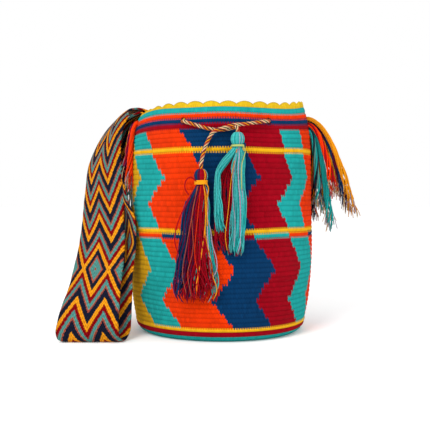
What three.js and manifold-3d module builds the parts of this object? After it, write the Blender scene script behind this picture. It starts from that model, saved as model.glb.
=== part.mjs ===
// A wayuu mochila: a round crocheted bucket bag with a woven shoulder strap, a laced drawstring,
// two tassels and the strap's yarn ends hanging as a fringe at each side.
// Millimetres, +Z up. The origin is the centre of the base's underside, the front faces -Y, the
// strap hangs down the -X side. Angles round the bag are in degrees from the front, towards +X.
import * as THREE from "three";
import { mergeVertices } from "three/addons/utils/BufferGeometryUtils.js";
import Module from "manifold-3d";

const wasm = await Module();
wasm.setup();

// ---- driving dimensions ----
const HEIGHT = 285; // floor to the tips of the scalloped edge
const WALL = 4; // crocheted fabric
const BASE_R = 95; // where the flat underside starts to turn up
const FOOT = { r: 111, z: 18 }; // end of the rounded bottom corner
const BELLY = { r: 117, z: 112 };
const SHOULDER = { r: 112.5, z: 252 };
const RIM_R = 106; // outside of the rim
const SCALLOPS = 33;
const SCALLOP_DEPTH = 3.6;
const DIP = { depth: 11, at: -108, spread: 70, from: 200 }; // the strap's weight pulls the rim down
const LIFT = { height: 8.5, lean: 2, at: 92, spread: 60, from: 212 }; // the far side stands up, inwards
const SEGMENTS = SCALLOPS * 4;
const GAP = 0.4; // between touching pieces
const SWING_GAP = 2.2; // between the drawstring's ends and the tassels that swing on them

const CORD_R = 2.2; // drawstring
const DRAWSTRING_STEPS = 110;
const EYELET_R = 6.5;
const EYELET_Z = 261;
const EYELETS = [-25, 30, 140, 165, 195, 220]; // degrees round the bag

const STRAP_WIDTH = 75;
const STRAP_THICK = 3.2;
const STRAP_STEPS = 74;

const HEAD_R = 8.2; // tassel head
const TIE_R = 1.3; // yarn wound round a tassel's neck
const NECK_R = 5.6;

const YARN_R = 2.4; // one bundle of the fringe

// ---- colours ----
const TURQUOISE = 0x1fa8a2;
const ORANGE = 0xf5430b;
const NAVY = 0x0b3860;
const DARK_RED = 0x9f061c;
const AMBER = 0xf2a81c;

const bag = new THREE.Group();

function addMesh(name, geometry, color, roughness = 0.9) {
  const material = new THREE.MeshStandardMaterial({ color, roughness, metalness: 0 });
  const mesh = new THREE.Mesh(geometry, material);
  mesh.name = name;
  bag.add(mesh);
  return mesh;
}

// A point at an angle round the bag, a radius from its axis and a height.
function around(degrees, radius, z) {
  const angle = THREE.MathUtils.degToRad(degrees);
  return new THREE.Vector3(Math.sin(angle) * radius, -Math.cos(angle) * radius, z);
}

// How much of a pull reaches an angle and a height: 1 at the rim in its middle, 0 outside it.
function shareOf(pull, degrees, z) {
  const off = THREE.MathUtils.euclideanModulo(degrees - pull.at + 180, 360) - 180;
  if (Math.abs(off) > pull.spread) return 0;
  const share = Math.cos((off / pull.spread) * (Math.PI / 2));
  return share * share * THREE.MathUtils.smoothstep(z, pull.from, HEIGHT);
}

// How far the wall is pulled down at an angle and a height.
function dip(degrees, z) {
  return DIP.depth * shareOf(DIP, degrees, z) - LIFT.height * shareOf(LIFT, degrees, z);
}

// A point of the drawstring's row of eyelets.
function lacing(degrees, radius) {
  return around(degrees, radius, EYELET_Z - DIP.depth * shareOf(DIP, degrees, EYELET_Z));
}

function solidFrom(geometry) {
  const bare = geometry.clone();
  bare.deleteAttribute("normal");
  bare.deleteAttribute("uv");
  const merged = mergeVertices(bare, 1e-3);
  const mesh = new wasm.Mesh({
    numProp: 3,
    vertProperties: new Float32Array(merged.attributes.position.array),
    triVerts: new Uint32Array(merged.index.array),
  });
  return new wasm.Manifold(mesh);
}

function geometryFrom(solid) {
  const mesh = solid.getMesh();
  const geometry = new THREE.BufferGeometry();
  geometry.setAttribute("position", new THREE.BufferAttribute(mesh.vertProperties, 3));
  geometry.setIndex(new THREE.BufferAttribute(mesh.triVerts, 1));
  return geometry;
}

// ---- the crocheted body: base, wall and scalloped rim in one piece ----
function bodyProfile() {
  const outside = new THREE.SplineCurve([
    new THREE.Vector2(FOOT.r, FOOT.z),
    new THREE.Vector2(BELLY.r - 1, 50),
    new THREE.Vector2(BELLY.r, BELLY.z),
    new THREE.Vector2(SHOULDER.r + 2.7, 200),
    new THREE.Vector2(SHOULDER.r, SHOULDER.z),
    new THREE.Vector2(RIM_R, HEIGHT - 3),
  ]);
  const corner = new THREE.EllipseCurve(BASE_R, FOOT.z, FOOT.r - BASE_R, FOOT.z, -Math.PI / 2, 0);
  const outer = [...corner.getPoints(3), ...outside.getPoints(8).slice(1)];
  const inner = outer.slice(2).map((p) => new THREE.Vector2(p.x - WALL, p.y));
  return [
    new THREE.Vector2(0, 0),
    ...outer,
    new THREE.Vector2(RIM_R - WALL / 2, HEIGHT),
    ...inner.reverse(),
    new THREE.Vector2(BASE_R - WALL / 2, WALL),
    new THREE.Vector2(0, WALL),
  ];
}

function bodySolid() {
  const lathe = new THREE.LatheGeometry(bodyProfile(), SEGMENTS);
  lathe.rotateX(Math.PI / 2);
  const place = lathe.attributes.position;
  const edge = HEIGHT - 4;
  for (let i = 0; i < place.count; i++) {
    const z = place.getZ(i);
    const turn = Math.atan2(place.getX(i), -place.getY(i));
    const degrees = THREE.MathUtils.radToDeg(turn);
    const wave = z > edge ? 0.5 - 0.5 * Math.cos(turn * SCALLOPS) : 0;
    const shrink = 1 - (LIFT.lean * shareOf(LIFT, degrees, z)) / RIM_R;
    place.setX(i, place.getX(i) * shrink);
    place.setY(i, place.getY(i) * shrink);
    place.setZ(i, z - SCALLOP_DEPTH * wave - dip(degrees, z));
  }
  let solid = solidFrom(lathe);
  for (const degrees of EYELETS) {
    const hole = new THREE.CylinderGeometry(EYELET_R, EYELET_R, 6 * WALL, 12);
    hole.rotateZ(THREE.MathUtils.degToRad(degrees));
    const at = lacing(degrees, SHOULDER.r - WALL / 2);
    hole.translate(at.x, at.y, at.z);
    solid = solid.subtract(solidFrom(hole));
  }
  return solid;
}

addMesh("bag_body", geometryFrom(bodySolid()), TURQUOISE, 0.95);

// ---- the woven strap ----
// One band. It is sewn inside the left of the rim, goes over the rim and down to the floor beside
// the bag, folds there, comes back up in front of itself, over the rim again, and hangs across the
// mouth to the inside of the right wall.
// Each station: centre x, y, z, the heading of the width from the rear edge to the front edge in
// degrees, and how far the middle of the band bows out from its edges.
const STRAP_STATIONS = [
  [-90.5, 27.7, 258.5, -107, 6.8],
  [-88.6, 27.1, 266, -107, 6.8],
  [-87, 26.6, 274, -107, 6.6],
  [-92.5, 28.3, 279.6, -107, 6.4],
  [-99.5, 31, 277.4, -110, 6],
  [-107.5, 38, 269, -122, 5],
  [-112, 43, 256, -129, 4],
  [-113.5, 41, 234, -127, 3],
  [-117, 28, 213, -116, 2],
  [-119, 18.5, 201.5, -105, 1.5],
  [-122.2, 6, 190, -93, 1.5],
  [-124, -12, 168, -80, 3.5],
  [-120.5, -25, 146, -69, 2],
  [-120, -34, 118, -66, 1],
  [-126, -43, 95, -58, 1],
  [-136, -56, 72, -42, 1],
  [-142, -66, 54, -25, 1],
  [-146, -81.5, 30, -8, 0],
  [-147.5, -87.5, 12, 0, 0],
  [-150.5, -92.5, 3.6, 0, 0],
  [-153.5, -99.5, 1.7, 0, 0],
  [-156.5, -106.5, 4, 0, 0],
  [-158.5, -110.5, 13, -3, 0],
  [-157.5, -107, 30, -11, 1],
  [-153.5, -86, 62, -27, 3],
  [-149.5, -43, 118, -34, 4],
  [-154, -6, 176, -45, 4],
  [-156.5, 17, 213, -53, 3],
  [-151.5, 28, 244, -65, 2],
  [-144.5, 30, 260.5, -71, 2],
  [-136.5, 31, 272.5, -77, 2],
  [-128, 31.5, 279.5, -82, 3],
  [-118.5, 31.5, 283.2, -89, 4],
  [-108, 31, 284.4, -97, 5],
  [-97, 29.5, 284.4, -103, 6],
  [-83, 27, 279.5, -103, 5],
  [-68, 23, 266, -99, 3],
  [-46, 17, 250, -95, 1],
  [-12, 10, 238.5, -92, 0],
  [24, 4, 236, -90, 0],
  [55, 1, 239, -90, -1],
  [76, 0, 247, -90, -3],
  [86.7, 0, 257, -90, -5],
  [93, 0, 269.5, -90, -6.8],
  [90.2, 0, 283, -90, -6.8],
];

function strapGeometry() {
  const spine = new THREE.CatmullRomCurve3(
    STRAP_STATIONS.map(([x, y, z]) => new THREE.Vector3(x, y, z)),
  );
  const lie = new THREE.CatmullRomCurve3(
    STRAP_STATIONS.map(([, , , heading, bow]) => new THREE.Vector3(heading, bow, 0)),
  );
  const band = new THREE.BoxGeometry(STRAP_WIDTH, STRAP_THICK, 1, 6, 1, STRAP_STEPS);
  const place = band.attributes.position;
  for (let i = 0; i < place.count; i++) {
    const t = THREE.MathUtils.clamp(place.getZ(i) + 0.5, 0, 1);
    const across = place.getX(i);
    const lying = lie.getPoint(t);
    const heading = THREE.MathUtils.degToRad(lying.x);
    const width = new THREE.Vector3(Math.cos(heading), Math.sin(heading), 0);
    const outward = new THREE.Vector3(Math.sin(heading), -Math.cos(heading), 0);
    const share = (2 * across) / STRAP_WIDTH;
    const normal = new THREE.Vector3().crossVectors(spine.getTangent(t), width).normalize();
    const point = spine.getPoint(t);
    point.addScaledVector(width, across);
    point.addScaledVector(outward, lying.y * (1 - share * share));
    point.addScaledVector(normal, place.getY(i));
    place.setXYZ(i, point.x, point.y, point.z);
  }
  return band;
}

addMesh("strap", strapGeometry(), AMBER);

// The rows of thread that hold the strap's ends to the wall.
function addSeam(name, middle, heading) {
  const thread = new THREE.BoxGeometry(STRAP_WIDTH - 16, 0.9, 3, 8, 1, 1);
  const place = thread.attributes.position;
  const half = (STRAP_WIDTH - 16) / 2;
  for (let i = 0; i < place.count; i++) {
    const share = place.getX(i) / half;
    place.setY(i, place.getY(i) - 4.2 * (1 - share * share));
  }
  thread.rotateZ(THREE.MathUtils.degToRad(heading));
  const seam = addMesh(name, thread, NAVY);
  seam.position.copy(middle);
}

addSeam("strap_seam_left", around(-107, 92.2, 264), -107);
addSeam("strap_seam_right", around(90, 92, 274), 90);

// ---- tubes for the drawstring and the yarn bundles ----
function tube(curve, radius, sides, steps) {
  const section = new THREE.Shape();
  for (let i = 0; i < sides; i++) {
    const angle = (2 * Math.PI * (i + 0.5)) / sides;
    const at = [radius * Math.cos(angle), radius * Math.sin(angle)];
    if (i === 0) section.moveTo(...at);
    else section.lineTo(...at);
  }
  section.closePath();
  return new THREE.ExtrudeGeometry(section, { steps, extrudePath: curve, bevelEnabled: false });
}

// ---- the drawstring, one cord laced through the eyelets ----
const ON_WALL = 115.4; // radius of the cord's centre where it lies on the outside of the wall
const OVER = 120.6; // where it lies over its own other end
const MID_WALL = 110; // where it passes through an eyelet
const IN_WALL = 103.8; // where it lies against the inside of the wall

const LEFT_HEAD = new THREE.Vector3(-24.5, -127, 197);
const RIGHT_HEAD = new THREE.Vector3(17.5, -125.5, 239.2);

function insideRun(from, to) {
  const stretches = Math.max(2, Math.round((to - from) / 14));
  const points = [];
  for (let i = 0; i <= stretches; i++) {
    points.push(lacing(from + ((to - from) * i) / stretches, IN_WALL));
  }
  return points;
}

function drawstringCurve() {
  const [left, right, a, b, c, d] = EYELETS;
  const out = 2.2; // degrees from an eyelet to where the cord lies flat again
  const points = [
    new THREE.Vector3(LEFT_HEAD.x, LEFT_HEAD.y, LEFT_HEAD.z + HEAD_R + SWING_GAP),
    new THREE.Vector3(LEFT_HEAD.x + 0.2, LEFT_HEAD.y + 0.4, LEFT_HEAD.z + 13),
    around(-9.6, OVER + 2, 228),
    around(-7.2, OVER, 240),
    around(-5, OVER, 247),
    around(-0.5, OVER, 251),
    around(5, OVER + 0.3, 254.6),
    around(12, OVER - 1, 256.5),
    around(20, OVER - 3.5, 259),
    lacing(right - out, ON_WALL + 0.2),
    lacing(right, MID_WALL),
    ...insideRun(right + 3.2, a - 3.2),
    lacing(a, MID_WALL),
    lacing(a + out + 1, ON_WALL),
    lacing((a + b) / 2, ON_WALL),
    lacing(b - out - 1, ON_WALL),
    lacing(b, MID_WALL),
    ...insideRun(b + 3.2, c - 3.2),
    lacing(c, MID_WALL),
    lacing(c + out + 1, ON_WALL),
    lacing((c + d) / 2, ON_WALL),
    lacing(d - out - 1, ON_WALL),
    lacing(d, MID_WALL),
    ...insideRun(d + 3.2, 360 + left - 3.2),
    lacing(left, MID_WALL),
    around(left + out + 0.6, ON_WALL + 0.2, EYELET_Z - 1),
    around(left + 10, ON_WALL, 255.5),
    around(left + 18, ON_WALL, 251),
    around(0, ON_WALL, 250),
    around(5.2, ON_WALL + 1.5, 251.6),
    new THREE.Vector3(RIGHT_HEAD.x - 0.6, RIGHT_HEAD.y + 1.2, RIGHT_HEAD.z + HEAD_R + 4.6),
    new THREE.Vector3(RIGHT_HEAD.x, RIGHT_HEAD.y, RIGHT_HEAD.z + HEAD_R + SWING_GAP),
  ];
  return new THREE.CatmullRomCurve3(points);
}

addMesh("drawstring", tube(drawstringCurve(), CORD_R, 8, DRAWSTRING_STEPS), AMBER);

// ---- tassels: a hank of yarn folded over the cord's end, tied below the fold ----
// The skirt is wide and shallow, because it hangs against the wall. flare is half its width at each
// share of the way from the neck down to its end, where lean is how far it has moved sideways.
function addTassel(side, head, skirt, colors) {
  const neckZ = -HEAD_R;
  const profile = [
    ...skirt.flare.map(([share, half]) => {
      return new THREE.Vector2(half, THREE.MathUtils.lerp(neckZ, -skirt.length, share));
    }),
    new THREE.Vector2(NECK_R, neckZ - TIE_R),
    new THREE.Vector2(NECK_R, neckZ + TIE_R),
    new THREE.Vector2(HEAD_R * 0.94, -2.6),
    new THREE.Vector2(HEAD_R, 0),
    new THREE.Vector2(HEAD_R * 0.82, HEAD_R * 0.62),
    new THREE.Vector2(HEAD_R * 0.4, HEAD_R),
    new THREE.Vector2(0, HEAD_R),
  ];
  const yarn = new THREE.LatheGeometry(profile, 20);
  yarn.rotateX(Math.PI / 2);
  const place = yarn.attributes.position;
  for (let i = 0; i < place.count; i++) {
    const down = THREE.MathUtils.clamp((neckZ - place.getZ(i)) / (skirt.length + neckZ), 0, 1);
    const flat = THREE.MathUtils.lerp(1, skirt.flatness, THREE.MathUtils.smoothstep(down, 0, 0.25));
    place.setX(i, place.getX(i) + skirt.lean * THREE.MathUtils.smoothstep(down, 0, 0.35));
    place.setY(i, place.getY(i) * flat);
  }
  addMesh(`tassel_${side}_yarn`, yarn, colors.yarn).position.copy(head);
  const tie = new THREE.TorusGeometry(NECK_R + GAP + TIE_R, TIE_R, 8, 24);
  tie.translate(0, 0, neckZ);
  addMesh(`tassel_${side}_tie`, tie, colors.tie).position.copy(head);
}

const LEFT_SKIRT = {
  length: 146,
  flare: [[1, 0], [1, 21], [0.93, 24.5], [0.75, 21], [0.5, 17], [0.2, 14.5], [0.09, 9.6]],
  flatness: 0.34,
  lean: -6,
};
const RIGHT_SKIRT = {
  length: 134,
  flare: [[1, 0], [1, 15], [0.93, 17.5], [0.75, 18.5], [0.5, 18.5], [0.24, 16.5], [0.09, 10]],
  flatness: 0.36,
  lean: -9,
};
addTassel("left", LEFT_HEAD, LEFT_SKIRT, { yarn: DARK_RED, tie: AMBER });
addTassel("right", RIGHT_HEAD, RIGHT_SKIRT, { yarn: TURQUOISE, tie: AMBER });

// ---- fringe: the strap's own yarn ends, drawn through the wall and hanging outside ----
// Each bundle leaves the wall outwards and bends down under its weight.
// Each row: degrees round the bag, height of the root, reach out from the wall, drop, sideways
// drift at the end, colour.
const RIGHT_FRINGE = [
  [84.5, 271, 62, 118, -6, AMBER],
  [84.5, 263.5, 34, 88, -2, ORANGE],
  [84.5, 256, 13, 96, 0, TURQUOISE],
  [88.2, 271, 52, 118, -3, NAVY],
  [88.2, 263.5, 31, 134, 2, TURQUOISE],
  [88.2, 256, 9, 108, 3, AMBER],
  [91.9, 271, 45, 100, 3, AMBER],
  [91.9, 263.5, 25, 114, 6, AMBER],
  [91.9, 256, 8, 112, 8, NAVY],
  [95.6, 271, 53, 92, 8, DARK_RED],
  [95.6, 263.5, 33, 96, 10, NAVY],
  [95.6, 256, 17, 76, 12, TURQUOISE],
];
const LEFT_FRINGE = [
  [-74.8, 265, 11.5, 82, 0, ORANGE],
  [-77.6, 249, 5.5, 81, 0, TURQUOISE],
  [-80.4, 265, 12.5, 66, 0, DARK_RED],
  [-83.2, 252, 6.5, 76, 0, NAVY],
  [-86, 265, 11.5, 52, 0, AMBER],
  [-88.8, 252, 6.5, 60, 0, TURQUOISE],
];

function fringeCurve([degrees, z, reach, drop, drift]) {
  const root = around(degrees, SHOULDER.r - (z - SHOULDER.z) * 0.2 + GAP + 0.6, z);
  const outward = around(degrees, 1, 0);
  const sideways = around(degrees + 90, 1, 0);
  const end = root.clone().addScaledVector(outward, reach);
  end.addScaledVector(sideways, drift);
  end.z -= drop;
  const early = root.clone().addScaledVector(outward, Math.min(6 + reach * 0.3, reach * 0.9));
  early.z += reach * 0.05;
  const late = end.clone().addScaledVector(outward, -reach * 0.3);
  late.z += drop * 0.62;
  return new THREE.CubicBezierCurve3(root, early, late, end);
}

function addFringe(side, rows) {
  rows.forEach((row, index) => {
    const number = String(index + 1).padStart(2, "0");
    const color = row[row.length - 1];
    addMesh(`fringe_${side}_${number}`, tube(fringeCurve(row), YARN_R, 8, 10), color);
  });
}

addFringe("right", RIGHT_FRINGE);
addFringe("left", LEFT_FRINGE);

export default bag;
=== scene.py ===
"""A wayuu mochila: crocheted bucket bag, woven shoulder strap, laced drawstring with two tassels,
and the strap's yarn ends hanging as a fringe at each side.

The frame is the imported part's: origin under the middle of the base, front at -Y, strap at -X.
Angles round the bag are in degrees from the front, towards +X. Lengths are written in millimetres
and scaled to metres when a mesh is made.
"""

import math

import bpy
import numpy as np
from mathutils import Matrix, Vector


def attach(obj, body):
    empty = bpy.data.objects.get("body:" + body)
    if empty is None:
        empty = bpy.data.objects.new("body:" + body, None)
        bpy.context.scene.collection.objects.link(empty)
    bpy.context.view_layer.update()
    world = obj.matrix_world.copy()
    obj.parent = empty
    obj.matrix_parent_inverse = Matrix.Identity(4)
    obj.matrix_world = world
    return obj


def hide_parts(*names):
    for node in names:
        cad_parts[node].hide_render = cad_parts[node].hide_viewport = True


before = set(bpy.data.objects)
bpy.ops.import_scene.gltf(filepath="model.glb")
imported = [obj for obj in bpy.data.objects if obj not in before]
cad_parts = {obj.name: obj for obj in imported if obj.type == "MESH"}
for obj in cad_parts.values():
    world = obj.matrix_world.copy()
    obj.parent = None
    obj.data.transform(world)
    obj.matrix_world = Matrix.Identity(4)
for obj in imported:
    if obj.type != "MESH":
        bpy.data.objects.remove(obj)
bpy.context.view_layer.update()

MM = 0.001
rng = np.random.default_rng(7)

# ---- colours, sRGB ----
TURQUOISE = (30, 168, 164)
ORANGE = (242, 58, 4)
NAVY = (6, 55, 98)
DARK_RED = (160, 2, 24)
YELLOW = (246, 184, 26)
EDGE_YELLOW = (232, 190, 34)
OCHRE = (222, 168, 22)
AMBER = (246, 158, 24)
CREAM = (240, 206, 150)
PALE_TURQUOISE = (70, 184, 182)
OCHRE_AMBER = (224, 144, 20)
SALMON = (178, 84, 62)
GREY_TEAL = (84, 150, 142)
BLACK_NAVY = (22, 28, 48)
STRAP_RED = (138, 4, 14)
PLUM = (92, 14, 56)
LILAC = (176, 160, 182)
PALE_LIME = (188, 204, 120)
DYE = 0.86  # share of its light that the dyed yarn sends back


def linear(rgb, gain=1.0):
    """An sRGB colour, 0 to 255, as the linear colour of dyed yarn."""
    share = np.asarray(rgb, float) / 255
    value = np.where(share <= 0.04045, share / 12.92, ((share + 0.055) / 1.055) ** 2.4)
    return value * gain * DYE


def set_inputs(node, values):
    for name, value in values.items():
        node.inputs[name].default_value = value


# ---- camera, light and floor ----
CAMERA_AT = (-0.00845, -1.083, 0.185)  # metres, as the lights' and the floor's
CAMERA_TILT = 88  # degrees up from straight down
CAMERA_LENS = 69.74
BAG_MIDDLE = (0, 0, 0.14)
FLOOR_HALF = 6


def look():
    camera = bpy.data.objects.new("camera", bpy.data.cameras.new("camera"))
    camera.data.lens = CAMERA_LENS
    camera.data.sensor_width = 36
    camera.data.clip_start = 0.01
    camera.location = CAMERA_AT
    camera.rotation_euler = (math.radians(CAMERA_TILT), 0, 0)
    bpy.context.scene.collection.objects.link(camera)
    bpy.context.scene.camera = camera
    bpy.context.scene.view_settings.view_transform = "Standard"


def add_light(name, place, size, power):
    """A soft round light that faces the bag."""
    data = bpy.data.lights.new(name, "AREA")
    data.shape = "DISK"
    data.size = size
    data.energy = power
    light = bpy.data.objects.new(name, data)
    light.location = place
    light.rotation_euler = (Vector(BAG_MIDDLE) - Vector(place)).to_track_quat("-Z", "Y").to_euler()
    bpy.context.scene.collection.objects.link(light)


def floor_material():
    paint = bpy.data.materials.new("pale_floor")
    paint.use_nodes = True
    matt_white = {
        "Base Color": (0.93, 0.93, 0.93, 1),
        "Roughness": 0.9,
        "Specular IOR Level": 0.0,
        "Emission Color": (1, 1, 1, 1),
        "Emission Strength": 0.09,
    }
    set_inputs(paint.node_tree.nodes["Principled BSDF"], matt_white)
    return paint


def studio():
    world = bpy.data.worlds.new("studio")
    world.use_nodes = True
    set_inputs(world.node_tree.nodes["Background"], {"Color": (1, 1, 1, 1), "Strength": 1.0})
    bpy.context.scene.world = world
    add_light("key", (-0.7, -1.5, 1.5), size=0.9, power=26)
    add_light("fill", (1.3, -1.3, 0.5), size=1.2, power=7)
    floor_mesh = bpy.data.meshes.new("floor")
    half = FLOOR_HALF
    corners = [(-half, -half, 0), (half, -half, 0), (half, half, 0), (-half, half, 0)]
    floor_mesh.from_pydata(corners, [], [(0, 1, 2, 3)])
    floor_mesh.materials.append(floor_material())
    floor = bpy.data.objects.new("floor", floor_mesh)
    bpy.context.scene.collection.objects.link(floor)


# ---- curves ----
def centripetal(points, count):
    """count points along a centripetal Catmull-Rom curve through points, evenly spaced in its parameter."""
    p = np.asarray(points, float)
    p = np.vstack([2 * p[0] - p[1], p, 2 * p[-1] - p[-2]])
    spans = len(p) - 3
    where = np.linspace(0, spans, count)
    first = np.minimum(where.astype(int), spans - 1)
    w = (where - first)[:, None]
    a, b, c, d = (p[first + k] for k in range(4))
    gap = [
        np.maximum(np.linalg.norm(y - x, axis=1), 1e-8)[:, None] ** 0.5
        for x, y in ((a, b), (b, c), (c, d))
    ]
    t1 = ((b - a) / gap[0] - (c - a) / (gap[0] + gap[1]) + (c - b) / gap[1]) * gap[1]
    t2 = ((c - b) / gap[1] - (d - b) / (gap[1] + gap[2]) + (d - c) / gap[2]) * gap[1]
    return b + t1 * w + (3 * (c - b) - 2 * t1 - t2) * w**2 + (2 * (b - c) + t1 + t2) * w**3


def distances(path):
    """How far along its path each point lies."""
    steps = np.linalg.norm(np.diff(path, axis=-2), axis=-1)
    return np.concatenate([np.zeros_like(steps[..., :1]), np.cumsum(steps, axis=-1)], axis=-1)


def evenly(path, count):
    """The same line with count points at equal distances."""
    length = distances(path)
    at = np.linspace(0, length[-1], count)
    return np.stack([np.interp(at, length, path[:, k]) for k in range(3)], axis=1), length[-1]


def unit(v):
    return v / np.maximum(np.linalg.norm(v, axis=-1, keepdims=True), 1e-12)


def smooth(x, low, high):
    """0 below low, 1 above high, and an even S between them."""
    t = np.clip((x - low) / (high - low), 0, 1)
    return t * t * (3 - 2 * t)


def around(degrees, radius, z):
    """The point at an angle round the bag, a radius and a height."""
    turn = np.radians(degrees)
    return np.stack(np.broadcast_arrays(np.sin(turn) * radius, -np.cos(turn) * radius, z), axis=-1)


def moving_frames(paths):
    """Two directions square to each path, carried along it without twist. Paths come as
    (strands, points, 3)."""
    tangent = unit(np.gradient(paths, axis=1))
    upright = np.abs(tangent[:, :1, 2:]) > 0.9
    side = unit(np.cross(tangent[:, 0], np.where(upright[:, 0], [1.0, 0, 0], [0, 0, 1.0])))
    across = [side]
    for i in range(1, paths.shape[1]):
        side = side - tangent[:, i] * np.sum(side * tangent[:, i], axis=1, keepdims=True)
        side = unit(side)
        across.append(side)
    across = np.stack(across, axis=1)
    return across, np.cross(tangent, across)


# ---- meshes ----
def add_piece(name, vertices, faces, material, body, nodes=()):
    """A mesh from points in millimetres, on its body, with the parts named in nodes hidden."""
    mesh = bpy.data.meshes.new(name)
    mesh.from_pydata((np.asarray(vertices) * MM).tolist(), [], faces)
    mesh.materials.append(material)
    mesh.polygons.foreach_set("use_smooth", np.ones(len(mesh.polygons), bool))
    mesh.update()
    piece = bpy.data.objects.new(name, mesh)
    bpy.context.scene.collection.objects.link(piece)
    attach(piece, body)
    if nodes:
        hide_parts(*nodes)
    return piece


def set_corners(piece, name, values):
    """An attribute of the faces' corners: a vector each, or a colour where there are four numbers."""
    values = np.asarray(values, np.float32)
    kind, key = ("FLOAT_COLOR", "color") if values.shape[1] == 4 else ("FLOAT_VECTOR", "vector")
    piece.data.attributes.new(name, kind, "CORNER").data.foreach_set(key, values.ravel())


def set_tints(piece, tints):
    set_corners(piece, "tint", np.hstack([tints, np.ones((len(tints), 1))]))


class Yarns:
    """Many closed yarn tubes gathered into one mesh, with each one's colour and grain."""

    def __init__(self):
        self.vertices, self.faces, self.tints, self.grain = [], [], [], []
        self.count = 0

    def add(self, paths, radius, tints, sides=6):
        """Paths come as (strands, points, 3), the radius as anything that spreads over (strands, points),
        and the tints as one colour a strand."""
        paths = np.asarray(paths, float)
        strands, points, _ = paths.shape
        radius = np.broadcast_to(radius, (strands, points))
        across, other = moving_frames(paths)
        turn = 2 * np.pi * np.arange(sides) / sides
        ring = np.cos(turn)[:, None] * across[:, :, None] + np.sin(turn)[:, None] * other[:, :, None]
        solid = paths[:, :, None] + radius[:, :, None, None] * ring
        index = self.count + np.arange(strands * points * sides).reshape(strands, points, sides)
        after = np.roll(index, -1, axis=2)
        quads = np.stack([index[:, :-1], after[:, :-1], after[:, 1:], index[:, 1:]], axis=-1)
        along = distances(paths)
        grain = np.zeros((strands, points - 1, sides, 4, 3))
        grain[..., 0] = np.stack([along[:, :-1]] * 2 + [along[:, 1:]] * 2, axis=-1)[:, :, None]
        share = np.arange(sides) / sides
        grain[..., 1] = np.stack([share, share + 1 / sides, share + 1 / sides, share], axis=-1)
        own = rng.random(strands)
        grain[..., 2] = own[:, None, None, None]
        starts = index[:, 0, ::-1]
        ends = index[:, -1]
        tints = np.asarray(tints, float)
        self.vertices.append(solid.reshape(-1, 3))
        self.faces += quads.reshape(-1, 4).tolist() + starts.tolist() + ends.tolist()
        caps = np.repeat(tints, sides, axis=0)
        self.tints += [np.repeat(tints, (points - 1) * sides * 4, axis=0), caps, caps]
        self.grain.append(grain.reshape(-1, 3))
        cap = np.zeros((strands, sides, 3))
        cap[..., 2] = own[:, None]
        self.grain += [cap.reshape(-1, 3), cap.reshape(-1, 3)]
        self.count += strands * points * sides

    def build(self, name, material, body, nodes=()):
        piece = add_piece(name, np.vstack(self.vertices), self.faces, material, body, nodes)
        set_tints(piece, np.vstack(self.tints))
        set_corners(piece, "grain", np.vstack(self.grain))
        return piece


# ---- materials ----
class Shading:
    """A material's nodes, with short ways to add and join them."""

    def __init__(self, name, roughness, sheen, specular=0.03):
        self.material = bpy.data.materials.new(name)
        self.material.use_nodes = True
        self.tree = self.material.node_tree
        self.shader = self.tree.nodes["Principled BSDF"]
        set_inputs(self.shader, {"Roughness": roughness, "Specular IOR Level": specular})
        set_inputs(self.shader, {"Sheen Weight": sheen, "Sheen Roughness": 0.5})

    def node(self, kind, **settings):
        made = self.tree.nodes.new(kind)
        for key, value in settings.items():
            setattr(made, key, value)
        return made

    def join(self, source, target):
        if isinstance(source, bpy.types.NodeSocket):
            self.tree.links.new(source, target)
        else:
            target.default_value = source

    def attribute(self, name, color=False):
        made = self.node("ShaderNodeAttribute", attribute_name=name)
        return made.outputs["Color" if color else "Vector"]

    def parts(self, vector):
        made = self.node("ShaderNodeSeparateXYZ")
        self.join(vector, made.inputs[0])
        return made.outputs

    def math(self, operation, *values):
        made = self.node("ShaderNodeMath", operation=operation)
        for socket, value in zip(made.inputs, values):
            self.join(value, socket)
        return made.outputs[0]

    def noise(self, vector, scale, detail=2.0):
        made = self.node("ShaderNodeTexNoise")
        self.join(vector, made.inputs["Vector"])
        set_inputs(made, {"Scale": scale, "Detail": detail})
        return made.outputs["Fac"]

    def object_place(self):
        return self.node("ShaderNodeTexCoord").outputs["Object"]

    def spread(self, value, low, high):
        """value, 0 to 1, as low to high."""
        made = self.node("ShaderNodeMapRange")
        self.join(value, made.inputs["Value"])
        set_inputs(made, {"To Min": low, "To Max": high})
        return made.outputs["Result"]

    def dim(self, color, amount):
        """color times amount, a grey."""
        made = self.node("ShaderNodeMix", data_type="RGBA", blend_type="MULTIPLY")
        made.inputs["Factor"].default_value = 1
        self.join(color, made.inputs["A"])
        grey = self.node("ShaderNodeCombineColor")
        for socket in grey.inputs:
            self.join(amount, socket)
        self.join(grey.outputs[0], made.inputs["B"])
        return made.outputs["Result"]

    def steps(self, value, stops):
        """A colour that changes sharply at each stop, (place, linear colour)."""
        made = self.node("ShaderNodeValToRGB")
        ramp = made.color_ramp
        ramp.interpolation = "CONSTANT"
        ramp.elements.remove(ramp.elements[1])
        for i, (place, color) in enumerate(stops):
            element = ramp.elements[0] if i == 0 else ramp.elements.new(place)
            element.position = place
            element.color = (*color, 1)
        self.join(value, made.inputs[0])
        return made.outputs["Color"]

    def finish(self, color, height, distance):
        """Colour and a bump of the height, 0 to 1, times the distance in metres."""
        self.join(color, self.shader.inputs["Base Color"])
        bump = self.node("ShaderNodeBump")
        set_inputs(bump, {"Strength": 1, "Distance": distance})
        self.join(height, bump.inputs["Height"])
        self.join(bump.outputs["Normal"], self.shader.inputs["Normal"])
        return self.material


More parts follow.
